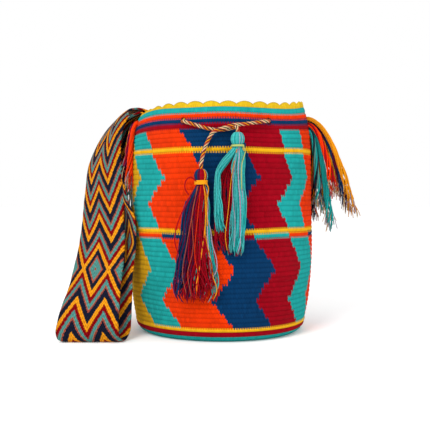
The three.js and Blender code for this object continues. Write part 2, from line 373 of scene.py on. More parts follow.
def crochet_material():
    """Single crochet in the round: each stitch is a V of two legs, and each row a rounded ridge."""
    s = Shading("crocheted_cotton", 0.95, 0.01)
    x, y, _ = s.parts(s.attribute("stitch"))
    rise = s.math("FRACT", y)
    off_centre = s.math("ABSOLUTE", s.math("SUBTRACT", s.math("FRACT", x), 0.5))
    leg_place = s.math("MULTIPLY_ADD", rise, -0.2, 0.34)
    from_leg = s.math("ABSOLUTE", s.math("SUBTRACT", off_centre, leg_place))
    leg = s.math("MAXIMUM", s.math("MULTIPLY_ADD", s.math("POWER", from_leg, 2.0), -28.0, 1.0), 0.0)
    arch = s.math("MAXIMUM", s.math("SINE", s.math("MULTIPLY", rise, math.pi)), 0.0)
    ridge = s.math("POWER", arch, 0.45)
    place = s.object_place()
    fibre = s.noise(place, 900, 3)
    plies = s.math("SINE", s.math("ADD", s.math("MULTIPLY", x, 25.0), s.math("MULTIPLY", y, 19.0)))
    height = s.math("MULTIPLY_ADD", ridge, 0.4, s.math("MULTIPLY", s.math("MULTIPLY", leg, ridge), 0.6))
    height = s.math("ADD", height, s.math("MULTIPLY", plies, 0.045))
    height = s.math("ADD", height, s.math("MULTIPLY", fibre, 0.14))
    wear = s.spread(s.noise(place, 28, 2), 0.84, 1.14)
    # Painted shade: the colour darkens in the groove between rows and beside each leg of the V, where the
    # relief is shaded; wear and fibre only vary the tone at random.
    painted_groove_shade = s.math("MULTIPLY_ADD", ridge, 0.4, 0.66)
    shade = s.math("MULTIPLY", s.math("MULTIPLY", wear, painted_groove_shade), s.math("MULTIPLY_ADD", leg, 0.24, 0.84))
    shade = s.math("MULTIPLY", shade, s.spread(fibre, 0.86, 1.14))
    return s.finish(s.dim(s.attribute("tint", True), shade), height, 0.0012)


def yarn_material(name, plies=3, pitch=5.0, sheen=0.02, depth=0.0004):
    """Twisted yarn: the plies wind round each strand."""
    s = Shading(name, 0.85, sheen)
    along, around_it, own = s.parts(s.attribute("grain"))
    turns = s.math("MULTIPLY_ADD", along, 1.0 / pitch, s.math("MULTIPLY", around_it, float(plies)))
    wave = s.math("SINE", s.math("MULTIPLY", turns, 2 * math.pi))
    ply = s.math("MULTIPLY_ADD", wave, 0.5, 0.5)
    fibre = s.noise(s.object_place(), 1400, 3)
    height = s.math("MULTIPLY_ADD", fibre, 0.3, ply)
    # Painted shade: the colour darkens in the hollows between the plies; own and fibre vary each strand's
    # tone at random.
    shade = s.math("MULTIPLY", s.spread(ply, 0.84, 1.06), s.spread(own, 0.86, 1.12))
    shade = s.math("MULTIPLY", shade, s.spread(fibre, 0.88, 1.12))
    return s.finish(s.dim(s.attribute("tint", True), shade), height, depth)


def strap_colors(s, level):
    """The colours of the zigzag lines, and where the level is below 0, of the diamond inside them."""
    outward = s.steps(
        s.math("FRACT", s.math("DIVIDE", level, ZIGZAG_PERIOD)),
        [
            (0.0, linear(AMBER)),
            (0.22, linear(STRAP_RED)),
            (0.42, linear(GREY_TEAL)),
            (0.61, linear(SALMON)),
            (0.7, linear(BLACK_NAVY)),
        ],
    )
    inward = s.steps(
        s.math("DIVIDE", level, -ZIGZAG),
        [
            (0.0, linear(BLACK_NAVY)),
            (0.27, linear(SALMON)),
            (0.4, linear(GREY_TEAL)),
            (0.78, linear(SALMON)),
        ],
    )
    color = s.node("ShaderNodeMix", data_type="RGBA")
    s.join(s.math("LESS_THAN", level, 0.0), color.inputs["Factor"])
    s.join(outward, color.inputs["A"])
    s.join(inward, color.inputs["B"])
    return color.outputs["Result"]


def strap_material():
    """Plied cords woven side by side along a zigzag with two peaks across, so each colour is a ribbed
    line. The level counts the distance from the first amber line, and below 0 it is in a diamond."""
    s = Shading("woven_band", 0.95, 0.01)
    across, along, _ = s.parts(s.attribute("weave"))
    half = STRAP_WIDTH / 2
    thread = s.math("MULTIPLY", s.math("ADD", s.math("FLOOR", s.math("DIVIDE", across, WARP)), 0.5), WARP)
    share = s.math("DIVIDE", s.math("ABSOLUTE", thread), half)
    peak = s.math("MULTIPLY", s.math("ABSOLUTE", s.math("SUBTRACT", share, 0.5)), 2 * ZIGZAG)
    wrapped = s.math("WRAP", along, DIAMOND_EVERY / 2, -DIAMOND_EVERY / 2)
    ragged = s.node("ShaderNodeTexWhiteNoise", noise_dimensions="1D")
    s.join(thread, ragged.inputs["W"])
    uneven = s.math("MULTIPLY_ADD", ragged.outputs["Value"], 2 * RAGGED, AMBER_LINE / 2 - RAGGED)
    level = s.math("ADD", s.math("SUBTRACT", s.math("ABSOLUTE", wrapped), peak), uneven)
    color = strap_colors(s, level)
    smooth_share = s.math("DIVIDE", s.math("ABSOLUTE", across), half)
    smooth_peak = s.math("MULTIPLY", s.math("ABSOLUTE", s.math("SUBTRACT", smooth_share, 0.5)), 2 * ZIGZAG)
    rib_at = s.math("ADD", s.math("SUBTRACT", s.math("ABSOLUTE", wrapped), smooth_peak), AMBER_LINE / 2)
    rib = s.math("ABSOLUTE", s.math("SINE", s.math("MULTIPLY", rib_at, math.pi / RIB)))
    twist = s.math("SINE", s.math("ADD", s.math("MULTIPLY", across, 2.6), s.math("MULTIPLY", rib_at, 1.1)))
    place = s.object_place()
    fibre = s.noise(place, 1000, 3)
    grain = s.math("MULTIPLY_ADD", twist, 0.16, s.math("MULTIPLY", fibre, 0.2))
    height = s.math("MULTIPLY_ADD", rib, 0.6, grain)
    wear = s.spread(s.noise(place, 30, 2), 0.8, 1.1)
    # Painted shade: the colour darkens in the grooves between the ribs and along the twist of the cords; wear
    # varies the tone at random.
    shade = s.math("MULTIPLY", s.spread(s.math("POWER", rib, 0.5), 0.42, 1.0), wear)
    shade = s.math("MULTIPLY", shade, s.math("MULTIPLY_ADD", twist, 0.14, 0.94))
    return s.finish(s.dim(color, shade), height, 0.0009)


# ---- the bag's form ----
HEIGHT = 285
WALL = 4
BASE_R = 95
FOOT_R = 111
FOOT_Z = 18
RIM_Z = 277.2  # under the scalloped edge
RIM_R = 106
PROFILE = [(FOOT_R, FOOT_Z), (116, 50), (117, 112), (115.2, 200), (112.5, 252), (RIM_R, 282)]
SCALLOPS = 33
SCALLOP_DEPTH = 3.6
SCALLOP_TURN = 3.8  # degrees from the front to the middle of a scallop
STITCHES = SCALLOPS * 7
PER_STITCH = 2  # columns of faces, one for each leg of the V
COLUMNS = STITCHES * PER_STITCH
ROW_STEPS = 3
ROW_SWELL = 0.75  # a row's ridge above the groove
SUNK = 0.35  # how far a groove lies inside the part's wall
STITCH_SHADE = 0.05  # how much stitches and rows differ in shade
ROW_SHADE = 0.03
# A pull on the wall: how far, its middle in degrees, its spread each side, and how low it reaches.
STRAP_PULL = (11, -108, 70, 200)
RIM_LIFT = (8.5, 92, 60, 212)
RIM_LEAN = 2  # how far the lifted side leans in
FOOT_TUCK = (3, 85, 65, 0)
PULLED_FROM = 50  # nothing nearer the middle than this moves inwards
TUCKED = (30, 120)  # heights between which the tuck of the foot fades out
ROLL_IN = 3.0  # the scalloped edge's roll at the left
ROLL_DOWN = 2.2
WALL_WAVE = 0.9  # slow unevenness of the wall
EYELETS = (-25, 30, 140, 165, 195, 220)
EYELET_Z = 261
EYELET_ROW = 2
EYELET_COLUMNS = 2  # each side of the middle
EYELET_R = 3.3
EYELET_WALL_R = 112
EYELET_LOW = 200  # an eyelet moves no stitch below this height
SINGLE_INSIDE = 4  # the inside's rows below these are made in pairs
FLOOR_Z = 4
INNER_RINGS = (8, 22, 36, 50, 64, 78, 92)
INNER_CORNER = (102.5, 8.5)
# The edge's section from the inside out, from RIM_R and HEIGHT: radius, height, how much it swells, and
# the share of a row that the faces after it start and end at.
EDGE_SECTION = [
    (0.5 - WALL, -1.6, 0, 0.2, 0),
    (-WALL / 2, 0, 0, 0, 0.2),
    (-0.4, -1.4, 0.35, 0.2, 0.55),
    (0.3, -4.4, 0.6, 0.55, 1),
]


def profile_radius(z):
    """Outer radius of the wall, by a uniform Catmull-Rom curve through PROFILE."""
    p = np.array(PROFILE, float)
    p = np.vstack([p[:1], p, p[-1:]])
    t = np.linspace(0, 1, 9)[:, None]
    line = []
    for a, b, c, d in zip(p, p[1:], p[2:], p[3:]):
        m1, m2 = (c - a) / 2, (d - b) / 2
        line.append(b + m1 * t + (3 * (c - b) - 2 * m1 - m2) * t**2 + (2 * (b - c) + m1 + m2) * t**3)
    line = np.vstack(line)
    return np.interp(z, line[:, 1], line[:, 0])


def pull_share(degrees, z, at, spread, lowest):
    """How much of a pull reaches an angle and a height: 1 at the rim in its middle, 0 outside it."""
    off = (np.asarray(degrees, float) - at + 180) % 360 - 180
    share = np.where(np.abs(off) < spread, np.cos(np.radians(off / spread * 90)), 0)
    return share**2 * smooth(z, lowest, HEIGHT)


def pulled(pull, degrees, z):
    """How far one of the pulls above moves the wall."""
    return pull[0] * pull_share(degrees, z, *pull[1:])


def dip(degrees, z):
    """How far the strap's weight pulls the wall down, less how far the other side stands up."""
    return pulled(STRAP_PULL, degrees, z) - pulled(RIM_LIFT, degrees, z)


# ---- the pattern crocheted into the wall ----
# Each field: its colour, and where its left edge starts at the top of the middle and lower panels.
FIELDS = [
    (TURQUOISE, -71, -60),
    (ORANGE, -47.8, -37.9),
    (NAVY, -18.7, -6),
    (DARK_RED, 14, 19.3),
    (TURQUOISE, 39.3, 43.9),
    (ORANGE, 59.3, 67.3),
    (NAVY, 86, 93),
    (DARK_RED, 112, 118),
    (TURQUOISE, 139, 145),
    (ORANGE, 166, 172),
    (NAVY, 193, 199),
    (DARK_RED, 219, 225),
    (OCHRE, 245, 252),
]
UPPER_PANEL = (252.7, 230.8)  # top and bottom
MIDDLE_PANEL = (225.2, 196, 164, 135.1)  # heights where its zigzag turns, from the top down
LOWER_PANEL = (123.7, 87, 51, FOOT_Z)
LOWER_TURNS = [0, 13.4, 0.2, 13]  # degrees from the field's start at each of those heights
STEP_TOP = 129.6  # top of the single row in which every field gives way to the next colour


def zigzag(z, heights, turns):
    """The turn at height z of a line that turns at each height."""
    return np.interp(-z, [-h for h in heights], turns)


def field_at(degrees, z, panel):
    """The colour of the zigzag field at an angle and height."""
    middle = np.array([f[1] for f in FIELDS], float)
    lower = np.array([f[2] for f in FIELDS], float)
    if panel == "upper":
        slant = np.interp(middle, [-18.7, 39.3], [9.9, 3.1])
        top, bottom = UPPER_PANEL
        edge = middle + 1.2 - slant * (z - bottom) / (top - bottom)
    elif panel == "middle":
        shift = np.clip((middle + 48) / 107, 0, 1)  # the zigzag is shallower towards the right
        tip, back = 11.3 - 4 * shift, -2 - 3.3 * shift
        edge = middle + [zigzag(z, MIDDLE_PANEL, [0, t, b, t + b]) for t, b in zip(tip, back)]
    else:
        edge = lower + zigzag(z, LOWER_PANEL, LOWER_TURNS)
    place = (degrees - edge[0]) % 360
    found = np.searchsorted((edge - edge[0]) % 360, place, side="right") - 1
    if panel == "step":
        found = (found + 1) % len(FIELDS)
    return FIELDS[found][0]


def wall_rows():
    """Each row of the wall from the edge down: top, bottom, and its colour or panel."""
    rows = []
    for top, bottom, tags in (
        (RIM_Z, UPPER_PANEL[0], [TURQUOISE, ORANGE, NAVY, DARK_RED]),
        (*UPPER_PANEL, ["upper"] * 4),
        (UPPER_PANEL[1], MIDDLE_PANEL[0], [YELLOW]),
        (MIDDLE_PANEL[0], MIDDLE_PANEL[-1], ["middle"] * 14),
        (MIDDLE_PANEL[-1], STEP_TOP, [YELLOW]),
        (STEP_TOP, LOWER_PANEL[0], ["step"]),
        (LOWER_PANEL[0], LOWER_PANEL[-1], ["lower"] * 18),
    ):
        edges = np.linspace(top, bottom, len(tags) + 1)
        rows += [(edges[i], edges[i + 1], tag) for i, tag in enumerate(tags)]
    return rows


ROWS = wall_rows()
# the rows round the foot: where each starts and ends, in degrees of the turn under, and its colour
CORNER_ROWS = [(0, 17, YELLOW), (17, 40, DARK_RED), (40, 64, TURQUOISE), (64, 90, TURQUOISE)]
BASE_RINGS = (
    [TURQUOISE] * 3 + [YELLOW] + [DARK_RED] * 2 + [ORANGE] * 2 + [YELLOW] + [NAVY] * 3 + [TURQUOISE] * 4
)


def body_profile():
    """The body's section from the middle of its inner floor, up inside, over the edge, down outside and
    under the base. Returns radius, height, outward direction and swell of each vertex, and each row of
    faces' colour or panel, number, and the share of the stitch row at its start and end."""
    section, faces = [], []

    def vertex(radius, height, out_r=0.0, out_z=0.0, bulge=0.0):
        section.append((radius, height, out_r, out_z, bulge))

    inside = [(ring, FLOOR_Z) for ring in INNER_RINGS] + [INNER_CORNER]
    for radius, height in inside:
        vertex(radius, height)
        faces.append(("inside", len(inside) - len(faces), 0, 1))
    number = len(ROWS)
    while number > 0:
        count = 1 if number <= SINGLE_INSIDE else 2
        number -= count
        bottom = ROWS[number + count - 1][1]
        vertex(profile_radius(bottom) - WALL, bottom)
        faces.append((ROWS[number][2], number, count, 0))
    vertex(profile_radius(RIM_Z) - WALL, RIM_Z)
    faces.append(("edge", -1, 1, 0.2))
    for out, up, bulge, low, high in EDGE_SECTION:
        vertex(RIM_R + out, HEIGHT + up, 1 if bulge else 0, 0, bulge)
        faces.append(("edge", -1, low, high))
    for number, (top, bottom, tag) in enumerate(ROWS):
        for share in np.arange(ROW_STEPS) / ROW_STEPS:
            height = top + (bottom - top) * share
            vertex(profile_radius(height), height, 1, 0, math.sin(math.pi * share) ** 0.5)
            faces.append((tag, number, share, share + 1 / ROW_STEPS))
    number = len(ROWS)
    for start, end, tag in CORNER_ROWS:
        for share in np.arange(ROW_STEPS) / ROW_STEPS:
            turn = math.radians(start + (end - start) * share)
            out, down = math.cos(turn), math.sin(turn)
            radius = BASE_R + (FOOT_R - BASE_R) * out
            vertex(radius, FOOT_Z * (1 - down), out, -down, math.sin(math.pi * share) ** 0.5)
            faces.append((tag, number, share, share + 1 / ROW_STEPS))
        number += 1
    width = BASE_R / len(BASE_RINGS)
    for i, tag in enumerate(BASE_RINGS):
        vertex(BASE_R - width * i, 0, 0, -1, i % 2)
        faces.append((tag, number + i, 0, 1))
    return np.array(section, float).T, faces[:-1]


def stir(turn, z, seed):
    """Slow, small waves over the wall, from -1 to 1."""
    a = np.sin(2 * turn + z / 61 + seed) + np.sin(5 * turn - z / 37 + 2.1 * seed)
    return (a + np.sin(9 * turn + z / 23 + 3.7 * seed) * 0.6) / 2.6


def edge_roll(degrees, z):
    """How far the scalloped edge rolls inwards, 0 to 1: only from the left to the back left."""
    left = smooth(-degrees, 20, 60) * smooth(degrees, -150, -110)
    return smooth(z, RIM_Z + 2, HEIGHT - 2) * left


def middle_column(at):
    return round(at * COLUMNS / 360)


def open_eyelet(at, angle, radius, height, z):
    """Draws the points near an eyelet onto circles round it, so that the faces left out make a round
    hole. Returns their new angle and height."""
    middle = math.radians(middle_column(at) * 360 / COLUMNS)
    top, bottom, _ = ROWS[EYELET_ROW]
    aside = ((angle - middle + math.pi) % (2 * math.pi) - math.pi) * radius
    above = height - (top + bottom) / 2 + dip(at, EYELET_Z)
    half_width = EYELET_COLUMNS * 2 * math.pi * EYELET_WALL_R / COLUMNS
    square = np.maximum(np.abs(aside) / half_width, np.abs(above) / ((top - bottom) / 2))
    far = np.maximum(np.hypot(aside, above), 1e-6)
    pull = (1 - smooth(square, 1.0, 3.0)) * (z > EYELET_LOW) * (square * EYELET_R / far - 1)
    return angle + pull * aside / radius, height + pull * above


def body_points():
    (r, z, nr, nz, swell), faces = body_profile()
    degrees = (np.arange(COLUMNS) * 360 / COLUMNS)[None]
    turn = np.radians(degrees)
    r, z, nr, nz, swell = (v[:, None] for v in (r, z, nr, nz, swell))
    lobe = np.abs(np.cos(SCALLOPS * (turn - math.radians(SCALLOP_TURN)) / 2)) ** 0.7
    edge = smooth(z, RIM_Z + 2, HEIGHT - 2)
    sway = smooth(z, 4, 40)
    rolled = edge_roll(np.where(degrees > 180, degrees - 360, degrees), z)
    on_wall = r > PULLED_FROM
    depth = ROW_SWELL * swell - SUNK * (nr**2 + nz**2)
    radius = r + nr * depth + WALL_WAVE * sway * stir(turn, z, 1.0)
    radius = radius + 0.9 * edge * (lobe - 0.5) * (nr > 0) - ROLL_IN * rolled
    radius = radius - pulled(FOOT_TUCK, degrees, HEIGHT) * (1 - smooth(z, *TUCKED)) * on_wall
    radius = radius - RIM_LEAN * pull_share(degrees, z, *RIM_LIFT[1:]) * on_wall
    height = z + nz * depth - SCALLOP_DEPTH * (1 - lobe) * edge - ROLL_DOWN * rolled
    height = height + 0.8 * sway * (1 - edge) * stir(turn, z, 4.0)
    height = np.where(nz < -0.99, 0.8 * (1 - swell), height)
    height = np.maximum(height, 0) - dip(degrees, z)
    angle = turn + 0 * radius
    for at in EYELETS:
        angle, height = open_eyelet(at, angle, radius, height, z)
    points = np.stack([radius * np.sin(angle), -radius * np.cos(angle), height], axis=-1)
    return points, faces


def vertex_at(i, j):
    return i * COLUMNS + j % COLUMNS


def stitch_color(tag, number, stitch):
    if tag == "edge":
        return EDGE_YELLOW
    if tag == "inside":
        return TURQUOISE
    if isinstance(tag, str):
        top, bottom, _ = ROWS[number]
        return field_at((stitch + 0.5) * 360 / STITCHES, (top + bottom) / 2, tag)
    return tag


class Stitched:
    """The body's faces, each with its colour and its corners' places in the stitches."""

    def __init__(self):
        self.faces, self.tints, self.corners, self.places = [], [], [], []

    def add(self, face, tint, places):
        self.faces.append(face)
        self.tints.append(tint)
        self.corners.append(len(face))
        self.places += places

    def add_rows(self, face_rows, holes):
        """Every row of faces but for the holes. A row's first faces show the row above in every other
        column, as its stitches loop down into them."""
        shade = 1 + STITCH_SHADE * rng.standard_normal((len(ROWS) + 40, STITCHES + 1))
        shade *= 1 + ROW_SHADE * rng.standard_normal((len(ROWS) + 40, 1))
        for i, (tag, number, low, high) in enumerate(face_rows):
            looped = 0 < number <= len(ROWS) and low == 0 and tag != "inside"
            for j in range(COLUMNS):
                if (i, j) in holes:
                    continue
                stitch = j // PER_STITCH
                if looped and j % PER_STITCH:
                    color = stitch_color(ROWS[number - 1][2], number - 1, stitch)
                else:
                    color = stitch_color(tag, number, stitch)
                left, right = j / PER_STITCH, (j + 1) / PER_STITCH
                start, end = number + low, number + high
                face = vertex_at(i, j), vertex_at(i + 1, j), vertex_at(i + 1, j + 1), vertex_at(i, j + 1)
                places = [(left, start, 0), (left, end, 0), (right, end, 0), (right, start, 0)]
                self.add(face, linear(color, shade[number + 1, stitch]), places)

    def add_lining(self, *grid):
        # The hole's sides take the eyelet row's navy, darkened to 0.8 as painted shade inside the hole.
        self.add([vertex_at(i, j) for i, j in grid], linear(NAVY, 0.8), [(0, 0.5, 0)] * len(grid))

    def line_eyelet(self, first, last, inner, top, bottom):
        """The wall's thickness round a hole that goes from column first to last, between the inner row of
        faces and the outer rows from top to bottom."""
        for j in range(first, last):
            self.add_lining((top, j + 1), (top, j), (inner + 1, j), (inner + 1, j + 1))
            self.add_lining((bottom, j), (bottom, j + 1), (inner, j + 1), (inner, j))
        down = [(i, first) for i in range(top, bottom + 1)]
        self.add_lining(*down, (inner, first), (inner + 1, first))
        up = [(i, last) for i in range(bottom, top - 1, -1)]
        self.add_lining(*up, (inner + 1, last), (inner, last))

    def close_middle(self, row, pole, inside):
        """The round of triangles between a row of points and the point in their middle."""
        for j in range(COLUMNS):
            a, b = vertex_at(row, j), vertex_at(row, j + 1)
            places = [(j / PER_STITCH, 0.2, 0), ((j + 1) / PER_STITCH, 0.2, 0), (j / PER_STITCH, 0.8, 0)]
            self.add((a, b, pole) if inside else (b, a, pole), linear(TURQUOISE), places)


def build_body():
    points, face_rows = body_points()
    rows = len(points)
    vertices = np.vstack([points.reshape(-1, 3), [[0, 0, FLOOR_Z], [0, 0, 0.5]]])
    inner, *outer = [i for i, f in enumerate(face_rows) if f[0] == NAVY and f[1] == EYELET_ROW]
    spans = [(middle_column(at) - EYELET_COLUMNS, middle_column(at) + EYELET_COLUMNS) for at in EYELETS]
    columns = {j % COLUMNS for first, last in spans for j in range(first, last)}
    stitched = Stitched()
    stitched.add_rows(face_rows, {(i, j) for i in (inner, *outer) for j in columns})
    for first, last in spans:
        stitched.line_eyelet(first, last, inner, outer[0], outer[-1] + 1)
    stitched.close_middle(0, rows * COLUMNS, True)
    stitched.close_middle(rows - 1, rows * COLUMNS + 1, False)
    wool = crochet_material()
    piece = add_piece("crocheted_body", vertices, stitched.faces, wool, "bag", ["bag_body"])
    set_tints(piece, np.repeat(stitched.tints, stitched.corners, axis=0))
    set_corners(piece, "stitch", stitched.places)


# ---- the strap ----
# Middle x, y, z, heading of the width, and how far the middle bows out, as the part has them.
STRAP_STATIONS = [
    (-90.5, 27.7, 258.5, -107, 6.8),
    (-88.6, 27.1, 266, -107, 6.8),
    (-87, 26.6, 274, -107, 6.6),
    (-92.5, 28.3, 279.6, -107, 6.4),
    (-99.5, 31, 277.4, -110, 6),
    (-107.5, 38, 269, -122, 5),
    (-112, 43, 256, -129, 4),
    (-113.5, 41, 234, -127, 3),
    (-117, 28, 213, -116, 2),
    (-119, 18.5, 201.5, -105, 1.5),
    (-122.2, 6, 190, -93, 1.5),
    (-124, -12, 168, -80, 3.5),
    (-120.5, -25, 146, -69, 2),
    (-120, -34, 118, -66, 1),
    (-126, -43, 95, -58, 1),
    (-136, -56, 72, -42, 1),
    (-142, -66, 54, -25, 1),
    (-146, -81.5, 30, -8, 0),
    (-147.5, -87.5, 12, 0, 0),
    (-150.5, -92.5, 3.6, 0, 0),
    (-153.5, -99.5, 1.7, 0, 0),
    (-156.5, -106.5, 4, 0, 0),
    (-158.5, -110.5, 13, -3, 0),
    (-157.5, -107, 30, -11, 1),
    (-153.5, -86, 62, -27, 3),
    (-149.5, -43, 118, -34, 4),
    (-154, -6, 176, -45, 4),
    (-156.5, 17, 213, -53, 3),
    (-151.5, 28, 244, -65, 2),
    (-144.5, 30, 260.5, -71, 2),
    (-136.5, 31, 272.5, -77, 2),
    (-128, 31.5, 279.5, -82, 3),
    (-118.5, 31.5, 283.2, -89, 4),
    (-108, 31, 284.4, -97, 5),
    (-97, 29.5, 284.4, -103, 6),
    (-83, 27, 279.5, -103, 5),
    (-68, 23, 266, -99, 3),
    (-46, 17, 250, -95, 1),
    (-12, 10, 238.5, -92, 0),
    (24, 4, 236, -90, 0),
    (55, 1, 239, -90, -1),
    (76, 0, 247, -90, -3),
    (86.7, 0, 257, -90, -5),
    (93, 0, 269.5, -90, -6.8),
    (90.2, 0, 283, -90, -6.8),
]
STRAP_WIDTH = 75
STRAP_THICK = 3.2
STRAP_STEPS = 420
STRAP_ACROSS = 34
WARP = 1.25  # one thread's width
ZIGZAG = 35  # height of a zigzag's peak
ZIGZAG_PERIOD = 43
AMBER_LINE = 9.5  # width of the line that the diamonds are drawn with
RAGGED = 0.7  # how far one thread's colour change strays from its neighbour's
DIAMOND_EVERY = 480
DIAMOND_Z = 84  # height of a diamond row's middle on the strap's front run
FRONT_RUN = (0.4, 0.62)  # shares of the strap's length between which the front run rises
RIB = 4.75  # height of a woven rib
EDGE_CURL = 6.0  # how far the edge next to the bag curls over where the front run hangs
CURLED = (0.56, 0.6, 0.715, 0.735)  # shares of the strap's length where the curl starts, is full, ends
CURL_FROM = 0.72  # share of the half width where the curl begins
TOWARD_BAG = np.array([1.0, 0.25, -0.25])
CURL_WEAVE = 9  # width of the pattern that the curled edge takes up


def strap_line():
    """The strap's middle line, the heading of its width, how far its middle bows out, and the distance
    along it, all at even steps."""
    stations = np.array(STRAP_STATIONS, float)
    spine = centripetal(stations[:, :3], 4001)
    lie = centripetal(np.hstack([stations[:, 3:], np.zeros((len(stations), 1))]), 4001)
    length = distances(spine)
    even = np.linspace(0, length[-1], STRAP_STEPS + 1)
    spine = np.stack([np.interp(even, length, spine[:, k]) for k in range(3)], axis=1)
    heading = np.interp(even, length, np.radians(lie[:, 0]))
    return spine, heading, np.interp(even, length, lie[:, 1]), even


def strap_section():
    """The section's points: one face across, then the other face back, both thinning to a rounded edge.
    Returns each point's share of the half width, and of the half thickness."""
    share = np.linspace(-1, 1, STRAP_ACROSS + 1)
    across = np.concatenate([share, share[::-1][1:-1]])
    face = np.concatenate([np.ones(len(share)), -np.ones(len(share) - 2)])
    face[0] = face[len(share) - 1] = 0
    return across, np.sqrt(np.clip(1 - across**16, 0, 1)) * face


def strap_points(spine, heading, bow, even, share, plump, curled, rolled):
    width = np.stack([np.cos(heading), np.sin(heading), 0 * heading], axis=1)
    outward = np.stack([np.sin(heading), -np.cos(heading), 0 * heading], axis=1)
    normal = unit(np.cross(unit(np.gradient(spine, axis=0)), width))
    edge_wave = 1 + 0.004 * np.sin(even / 7.3)[:, None] + 0.004 * np.sin(even / 2.9 + 1)[:, None]
    across = share[None] * STRAP_WIDTH / 2 * edge_wave
    return (
        spine[:, None]
        + TOWARD_BAG * (EDGE_CURL * curled[:, None] * rolled)[..., None]
        + width[:, None] * across[..., None]
        + outward[:, None] * (bow[:, None] * (1 - share**2))[..., None]
        + normal[:, None] * (plump[None] * STRAP_THICK / 2)[..., None]
    )


def strap_weave(even, share, curled, rolled):
    """Where each corner of the strap's faces lies in the weave: across it, and along it."""

    def ring_corners(v):
        after = np.roll(v, -1)
        return np.stack([v, after, after, v], axis=-1)

    def step_corners(v):
        return np.stack([v[:-1], v[:-1], v[1:], v[1:]], axis=-1)[:, None]

    weave = np.zeros((len(even) - 1, len(share), 4, 3))
    weave[..., 0] = ring_corners(share) * STRAP_WIDTH / 2
    weave[..., 0] += CURL_WEAVE * ring_corners(rolled) * step_corners(curled)
    weave[..., 1] = step_corners(even)
    return weave


def build_strap():
    spine, heading, bow, even = strap_line()
    share, plump = strap_section()
    along = even / even[-1]
    curled = smooth(along, *CURLED[:2]) - smooth(along, *CURLED[2:])
    rolled = smooth(share, CURL_FROM, 1.0)
    points = strap_points(spine, heading, bow, even, share, plump, curled, rolled)
    rows, ring, _ = points.shape
    index = np.arange(rows * ring).reshape(rows, ring)
    after = np.roll(index, -1, axis=1)
    quads = np.stack([index[:-1], after[:-1], after[1:], index[1:]], axis=-1).reshape(-1, 4)
    faces = quads.tolist() + [index[0, ::-1].tolist(), index[-1].tolist()]
    weave = strap_weave(even, share, curled, rolled)
    run = slice(*(int(part * STRAP_STEPS) for part in FRONT_RUN))
    weave[..., 1] -= even[run][np.argmin(np.abs(spine[run, 2] - DIAMOND_Z))]
    band = strap_material()
    piece = add_piece("woven_strap", points.reshape(-1, 3), faces, band, "bag", ["strap"])
    ends = np.zeros((2 * ring, 3))
    set_corners(piece, "weave", np.vstack([weave.reshape(-1, 3), ends]))
    return piece, even[-1]


# ---- seams ----
SEAM_HALF = 29.5
SEAM_STITCH = 7  # length of a stitch with its gap
SEAM_BOW = 4.2


def build_seam(side, degrees, radius, z, yarn):
    """A running stitch across the strap's end."""
    at = np.linspace(-SEAM_HALF, SEAM_HALF, 120)
    share = at / SEAM_HALF
    turn = at * 2 * math.pi / SEAM_STITCH
    heading = math.radians(degrees)
    width = np.array([math.cos(heading), math.sin(heading), 0])
    outward = np.array([math.sin(heading), -math.cos(heading), 0])
    bow = SEAM_BOW * (1 - share**2) + 0.25 * np.sin(turn)
    path = around(degrees, radius, z) + at[:, None] * width + bow[:, None] * outward
    path[:, 2] += 0.9 * np.cos(turn)
    yarns = Yarns()
    yarns.add(path[None], 0.55, [linear(NAVY, 1.2)])
    return yarns.build(f"seam_thread_{side}", yarn, "bag", [f"strap_seam_{side}"])


# ---- the drawstring ----
ON_WALL = 115.4  # radius of the cord's middle where it lies on the wall
OVER = 120.6  # where it hangs in front of its other end
MID_WALL = 110  # in an eyelet
IN_WALL = 103.8  # inside the wall
LEAVES = 2.2  # degrees from an eyelet's middle to where the cord comes out
ENTERS = 3.2  # degrees from it to where the cord lies inside
LEFT_HEAD = np.array([-24.5, -127, 197])
RIGHT_HEAD = np.array([17.5, -125.5, 239.2])
HEAD_R = 8.2
NECK_R = 5.6
SWING_GAP = 2.2
CORD_END = (0, 0, HEAD_R + SWING_GAP - 4)  # above the middle of a tassel's head
CORD_STEPS = 620
CORD_R = 2.2
CORD_PLIES = (CREAM, SALMON, BLACK_NAVY, AMBER, DARK_RED, SALMON, CREAM, BLACK_NAVY)
PLY_R = 0.78
PLY_PITCH = 17


def lacing(degrees, radius):
    """A point of the cord at the eyelets' height, which sinks with the wall under the strap."""
    return around(degrees, radius, EYELET_Z - pulled(STRAP_PULL, degrees, EYELET_Z))


def inside_run(start, end):
    """The cord along the inside of the wall from one eyelet to the next."""
    start, end = start + ENTERS, end - ENTERS
    stretches = max(2, round((end - start) / 14))
    return [lacing(start + (end - start) * i / stretches, IN_WALL) for i in range(stretches + 1)]


def outside_run(start, end):
    """The cord out of one eyelet, along the outside of the wall and into the next."""
    return [
        lacing(start, MID_WALL),
        lacing(start + LEAVES + 1, ON_WALL),
        lacing((start + end) / 2, ON_WALL),
        lacing(end - LEAVES - 1, ON_WALL),
        lacing(end, MID_WALL),
    ]


def drawstring_points():
    """From the left tassel across the front, round through the eyelets, and to the right tassel."""
    left, right, a, b, c, d = EYELETS
    return [
        LEFT_HEAD + CORD_END,
        LEFT_HEAD + (0.2, 0.4, 13),
        around(-9.6, OVER + 2, 228),
        around(-7.2, OVER, 240),
        around(-5, OVER, 247),
        around(-0.5, OVER, 251),
        around(5, OVER + 0.3, 254.6),
        around(12, OVER - 1, 256.5),
        around(20, OVER - 3.5, 259),
        lacing(right - LEAVES, ON_WALL + 0.2),
        lacing(right, MID_WALL),
        *inside_run(right, a),
        *outside_run(a, b),
        *inside_run(b, c),
        *outside_run(c, d),
        *inside_run(d, 360 + left),
        lacing(left, MID_WALL),
        around(left + LEAVES + 0.6, ON_WALL + 0.2, EYELET_Z - 1),
        around(left + 10, ON_WALL, 255.5),
        around(left + 18, ON_WALL, 251),
        around(0, ON_WALL, 250),
        around(5.2, ON_WALL + 1.5, 251.6),
        RIGHT_HEAD + (-0.6, 1.2, HEAD_R + 4.6),
        RIGHT_HEAD + CORD_END,
    ]


